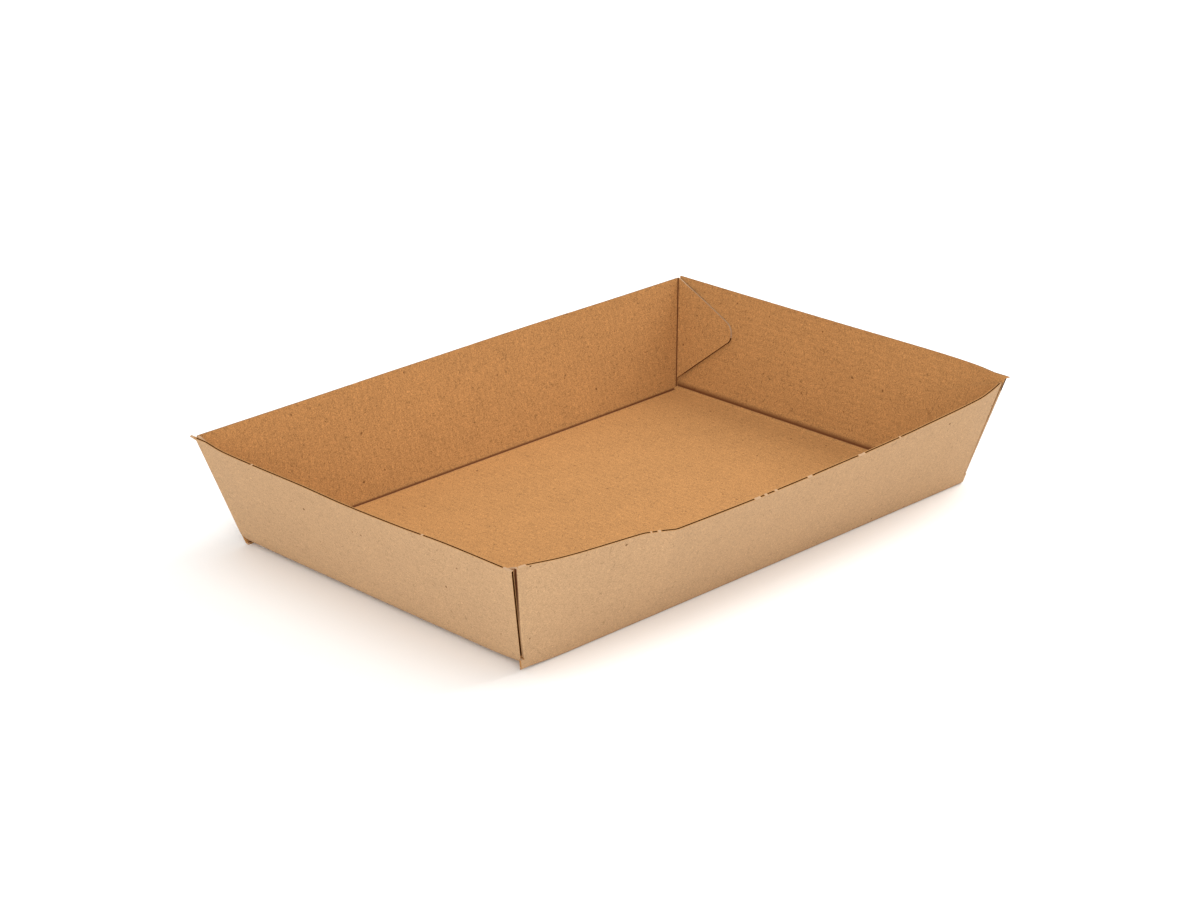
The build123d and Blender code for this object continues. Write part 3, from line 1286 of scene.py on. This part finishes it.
        def in_nick(middle: Vector) -> bool:
            """Whether a point of the rim is in a nick."""
            place = wall.place_of(middle.y if wall.side[0] else middle.x, middle.z)
            return any(nick.first <= place <= nick.last for nick in wall.nicks)

        self.pick_cuts(part, lambda middle, normal: on_rim(middle, normal) and in_nick(middle))
        self.dress_cuts(Finish.WORN)
        self.pick_cuts(part, on_rim)
        self.sink_cuts(self.liner)

    def build(self) -> Object:
        """Build the board.

        Returns:
            The finished object.
        """
        bpy.ops.object.select_all(action="DESELECT")
        self.draw_base()
        self.draw_long_walls()
        for left in (-1, 1):
            for near in (-1, 1):
                self.draw_corner(left, near)
                self.cut_tab(left, near)
        self.draw_short_walls()
        self.cut_nicks()
        self.fold()
        self.thicken()
        self.press_scores()
        self.open_cuts()
        bpy.ops.object.shade_smooth_by_angle(angle=math.radians(self.smooth))
        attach(self.made, "root")
        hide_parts("tray")
        log.info("%s: %d faces", self.made.name, len(self.made.data.polygons))
        return self.made


@dataclass
class Fluting:
    """The wavy paper between the liners, where it shows in one open rim, in millimetres."""

    wall: Wall
    name: str
    paper: float = 0.12
    sink: float = 0.27
    height: float = 0.4
    steps: int = 8
    closed_end: float = 0.02
    across: float = 0.17
    lengthwise: float = 0.12
    drift: float = 14.0
    smooth: float = 40.0

    def sway(self, along: float) -> float:
        """How far the paper is from the board's middle.

        The long rims are cut across the flutes. The short ones are cut along them, so there
        the cut runs slowly from one side of a flute to the other.

        Args:
            along: how far along the wall.

        Returns:
            Millimetres towards the inner face.
        """
        if self.wall.side[1]:
            return self.across * math.cos(2 * math.pi * along / BOARD.flute)
        return self.lengthwise * math.cos(along / self.drift + self.wall.warp_seed)

    def build(self) -> Object:
        """Build the strip of paper.

        Returns:
            The finished object.
        """
        length = self.wall.end[0] - self.wall.start[0]
        columns = int(length / BOARD.flute * self.steps)
        bpy.ops.mesh.primitive_grid_add(x_subdivisions=columns, y_subdivisions=1, size=2)
        made = bpy.context.object
        made.name = self.name
        for corner in made.data.vertices:
            place = corner.co.x * (1 - self.closed_end)
            down = self.sink if corner.co.y > 0 else self.sink + self.height
            along = self.wall.stand(place)[0]
            depth = BOARD.thickness / 2 + self.sway(along)
            corner.co = self.wall.point(place, 1 - down / self.wall.slope, depth) * MM
        solidify(made, thickness=self.paper * MM, offset=0.0)
        # Its colour is darkened with painted shade of the groove.
        made.data.materials.append(RIBBON.make())
        bpy.ops.object.shade_smooth_by_angle(angle=math.radians(self.smooth))
        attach(made, "root")
        log.info("%s: %d faces", made.name, len(made.data.polygons))
        return made


@dataclass(frozen=True)
class PaleFloor:
    """Matte white painted board under the object."""

    name: str = "pale_floor"
    colour: str = "#F4F3F1"

    def make(self) -> Material:
        """Build the material."""
        inputs = {"Base Color": linear(self.colour), "Roughness": 0.9}
        return new_material(self.name, lambda tree: inputs)


@dataclass
class Studio:
    """Floor, soft lights and the camera at the photograph's view, in metres and degrees."""

    floor_size: float = 6.0
    floor_gap: float = 0.00005
    camera_place: tuple[float, float, float] = (-0.58076, -0.62193, 0.35985)
    camera_turn: tuple[float, float, float] = (68.166, 1.419, -43.416)
    lens: float = 86.09
    sensor: float = 36.0
    world_strength: float = 0.78
    lights: tuple[tuple[str, tuple[float, float, float], float, float], ...] = (
        ("window", (1.3, -0.3, 1.2), 1.0, 19.5),
        ("overhead", (0.0, 0.0, 1.6), 1.2, 7.0),
        ("side_panel", (-1.6, -0.3, 0.4), 0.8, 7.4),
        ("front_softbox", (-0.75, -1.15, 0.7), 1.0, 9.0),
    )

    def lay_floor(self) -> None:
        """Add the floor that the tray stands on."""
        bpy.ops.mesh.primitive_plane_add(size=self.floor_size, location=(0, 0, -self.floor_gap))
        floor = bpy.context.object
        floor.name = "floor"
        floor.data.materials.append(PaleFloor().make())

    def hang_lights(self) -> None:
        """Add the soft boxes and the white surroundings."""
        for name, place, size, power in self.lights:
            lamp = bpy.data.lights.new(name, "AREA")
            lamp.shape = "SQUARE"
            lamp.size = size
            lamp.energy = power
            hung = bpy.data.objects.new(name, lamp)
            hung.location = place
            hung.rotation_euler = (-Vector(place)).to_track_quat("-Z", "Y").to_euler()
            bpy.context.scene.collection.objects.link(hung)
        world = bpy.data.worlds.new("white_surroundings")
        world.use_nodes = True
        background = world.node_tree.nodes["Background"]
        background.inputs["Color"].default_value = (1.0, 1.0, 1.0, 1.0)
        background.inputs["Strength"].default_value = self.world_strength
        bpy.context.scene.world = world

    def place_camera(self) -> None:
        """Add the camera at the photograph's view."""
        view = bpy.data.cameras.new("camera")
        view.lens = self.lens
        view.sensor_width = self.sensor
        view.clip_start = 0.01
        view.clip_end = 50.0
        holder = bpy.data.objects.new("camera", view)
        holder.location = self.camera_place
        holder.rotation_euler = [math.radians(angle) for angle in self.camera_turn]
        bpy.context.scene.collection.objects.link(holder)
        bpy.context.scene.camera = holder

    def build(self) -> None:
        """Set up everything that isn't part of the tray."""
        self.lay_floor()
        self.hang_lights()
        self.place_camera()
        bpy.context.scene.view_settings.view_transform = "Standard"
        log.info("studio set up")


def main() -> None:
    """Build the tray's looks and the studio around it."""
    logging.basicConfig(level=logging.INFO)
    Studio().build()
    FoldedBoard().build()
    for name, wall in WALLS.items():
        Fluting(wall, f"fluting_in_the_{name}_rim").build()


if __name__ == "__main__":
    main()
